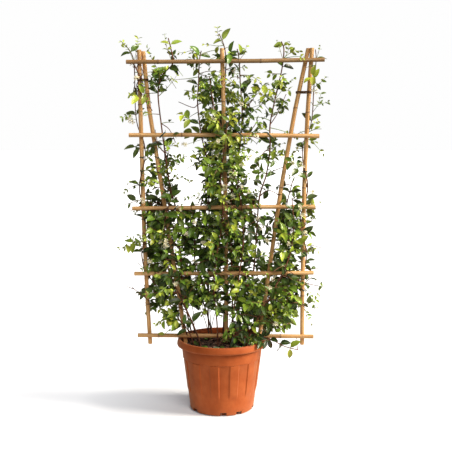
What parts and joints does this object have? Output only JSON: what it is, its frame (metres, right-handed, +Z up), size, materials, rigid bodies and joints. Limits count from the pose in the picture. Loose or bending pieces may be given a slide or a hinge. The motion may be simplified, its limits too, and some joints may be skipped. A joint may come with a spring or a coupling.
{
  "type": "potted star jasmine",
  "caption": "Potted star jasmine: twining leafy stems with small white flowers, tied to a bamboo cane trellis that stands in a soil-filled fluted terracotta plastic pot.",
  "frame": {"origin": "middle of the pot's base, on the surface that the pot stands on", "axes": "+Z up along the middle of the pot, the trellis lies in the X-Z plane, and the side with the level canes in front faces -Y"},
  "size_m": [0.6687, 0.2998, 1.2532],
  "materials": {
    "pot_plastic": "matte",
    "potting_mix": "matte",
    "bamboo": "satin",
    "pin_wire": "satin",
    "tie_band": "matte",
    "flower_petal": "matte",
    "jasmine_leaf": "satin"
  },
  "bodies": {
    "root": {"pot": "pot_plastic", "soil": "potting_mix", "post_left": "bamboo", "post_right": "bamboo", "cane_leaning_left": "bamboo", "cane_leaning_right": "bamboo", "cane_middle": "bamboo", "bar_1_top": "bamboo", "bar_2": "bamboo", "bar_3": "bamboo", "bar_4": "bamboo", "bar_5_bottom": "bamboo", "pin_1_left": "pin_wire", "pin_1_right": "pin_wire", "pin_2_left": "pin_wire", "pin_2_right": "pin_wire", "pin_3_left": "pin_wire", "pin_3_right": "pin_wire", "pin_4_left": "pin_wire", "pin_4_right": "pin_wire", "pin_5_left": "pin_wire", "pin_5_right": "pin_wire", "tie_bar_4_left": "tie_band", "tie_bar_3_left": "tie_band", "tie_bar_2_left": "tie_band", "tie_bar_3_centre_left": "tie_band", "tie_bar_2_centre_right": "tie_band", "tie_bar_3_right": "tie_band", "tie_bar_2_right": "tie_band", "tie_post_left": "tie_band", "tie_post_right_low": "tie_band", "tie_post_right_high": "tie_band", "tie_middle": "tie_band", "lashing_left": "tie_band", "lashing_right": "tie_band", "flower_cluster_1": "flower_petal", "flower_cluster_2": "flower_petal", "flower_cluster_3": "flower_petal", "flower_cluster_4": "flower_petal", "flower_cluster_5": "flower_petal", "flower_cluster_6": "flower_petal", "leafy_stem_left_inner": "jasmine_leaf", "leafy_stem_right_inner": "jasmine_leaf", "leafy_stem_centre_left": "jasmine_leaf", "leafy_stem_centre_right": "jasmine_leaf", "leafy_stem_tallest": "jasmine_leaf", "leafy_stem_back_column": "jasmine_leaf", "leafy_stem_front_column": "jasmine_leaf", "leafy_stem_front_right_column": "jasmine_leaf", "leafy_stem_left_front": "jasmine_leaf", "leafy_stem_left_back": "jasmine_leaf", "leafy_stem_right_front": "jasmine_leaf", "leafy_stem_right_back": "jasmine_leaf", "leafy_stem_left_post": "jasmine_leaf", "leafy_stem_right_post": "jasmine_leaf", "leafy_stem_right_trailing": "jasmine_leaf", "leafy_stem_left_low": "jasmine_leaf"}
  },
  "joints": []
}
